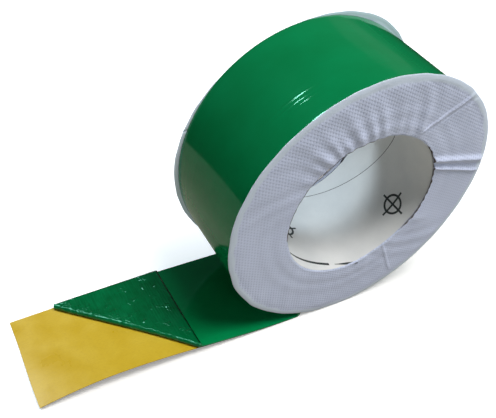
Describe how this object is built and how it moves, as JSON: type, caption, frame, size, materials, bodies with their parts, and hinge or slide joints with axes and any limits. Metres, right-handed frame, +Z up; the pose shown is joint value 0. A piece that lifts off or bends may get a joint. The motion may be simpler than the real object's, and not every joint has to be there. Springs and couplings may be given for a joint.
{
  "type": "tape roll with an unwound tail",
  "caption": "Wide film tape wound on a board core between fabric side discs, with a folded-back tail over a bared release liner.",
  "frame": {"origin": "on the ground, under the middle of the whole object's box", "axes": "+Z up; the roll's axis along Y with the near side disc towards -Y; the unwound tail runs towards -X"},
  "size_m": [0.2144, 0.055, 0.1328],
  "materials": {
    "white_paper": "matt printed paper",
    "grey_board": "matt board",
    "kraft_paper": "matt board",
    "green_film": "glossy film",
    "green_adhesive": "tacky, slightly ribbed",
    "wound_tape": "edges of the wound layers",
    "yellow_liner": "siliconised paper",
    "white_fabric": "embossed nonwoven"
  },
  "bodies": {
    "tail": {"tail_liner": "yellow_liner", "tail_adhesive": "green_adhesive", "tail_film": "green_film", "fold_film": "green_film", "fold_adhesive": "green_adhesive"},
    "roll": {"core_bore_ply": "white_paper", "core_board_ply_inner": "grey_board", "core_board_ply_middle": "grey_board", "core_board_ply_outer": "grey_board", "core_outer_ply": "kraft_paper", "pack_turns_inner": "wound_tape", "pack_turns_middle": "wound_tape", "pack_turns_outer": "wound_tape", "outer_turn_liner": "yellow_liner", "outer_turn_adhesive": "green_adhesive", "outer_turn_film": "green_film"},
    "near_disc": {"near_side_disc": "white_fabric"},
    "far_disc": {"far_side_disc": "white_fabric"},
    "flap": {"flap_film": "green_film", "flap_adhesive": "green_adhesive"}
  },
  "joints": [
    {"name": "roll_turn", "type": "hinge", "parent": "tail", "child": "roll", "pos_m": [0.0408, 0, 0.0664], "axis": [0, 1, 0], "continuous": true},
    {"name": "near_disc_peel", "type": "slide", "parent": "roll", "child": "near_disc", "axis": [0, -1, 0], "range_m": [0, 0.03]},
    {"name": "far_disc_peel", "type": "slide", "parent": "roll", "child": "far_disc", "axis": [0, 1, 0], "range_m": [0, 0.03]},
    {"name": "flap_peel", "type": "hinge", "parent": "tail", "child": "flap", "pos_m": [-0.0597, -0.00057, 0.00492], "axis": [0.7173, -0.6943, 0.0581], "range_deg": [0, 160]}
  ]
}
